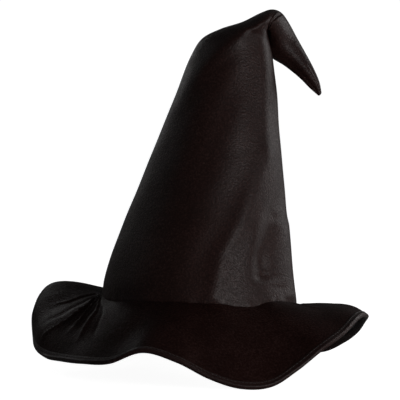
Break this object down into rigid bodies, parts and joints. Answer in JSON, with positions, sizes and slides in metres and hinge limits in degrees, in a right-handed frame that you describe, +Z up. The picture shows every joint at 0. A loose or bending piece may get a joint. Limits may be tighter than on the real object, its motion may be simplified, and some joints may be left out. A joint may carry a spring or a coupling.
{
  "type": "witch hat",
  "caption": "Soft velvet cone hat that leans to one side and ends in a fallen tip, on a wide wavy wired brim, with a round head opening and sweatband.",
  "frame": {"origin": "centre of the round head opening, in the plane of the seam between crown and brim", "axes": "+Z up through the crown, +X towards the side the crown leans and the tip falls to, -Y to the front"},
  "size_m": [0.3492, 0.3598, 0.3705],
  "materials": {
    "velvet": "short pile, soft sheen",
    "satin": "smooth satin weave",
    "interlining": "stiff open weave",
    "foam": "thin felted foam",
    "wire": "drawn spring wire",
    "thread": "twisted thread",
    "grosgrain": "ribbed ribbon",
    "cotton_tape": "plain weave tape",
    "label": "woven satin ribbon",
    "wadding": "loose fibre"
  },
  "bodies": {
    "hat": {"crown_shell": "velvet", "crown_interlining": "interlining", "crown_lining": "satin", "crown_back_seam": "velvet", "brim_top": "velvet", "brim_core": "foam", "brim_underside": "satin", "brim_wire": "wire", "wire_joiner": "wire", "brim_binding": "velvet", "brim_topstitch": "thread", "sweatband": "grosgrain", "sweatband_stitching": "thread", "seam_tape": "cotton_tape", "size_label": "label", "care_label": "label"},
    "tip": {"tip_shell": "velvet", "tip_filling": "wadding"}
  },
  "joints": [
    {"name": "tip_fold", "type": "hinge", "parent": "hat", "child": "tip", "pos_m": [0.078, 0.01, 0.3], "axis": [0, -1, 0], "range_deg": [0, 80]}
  ]
}
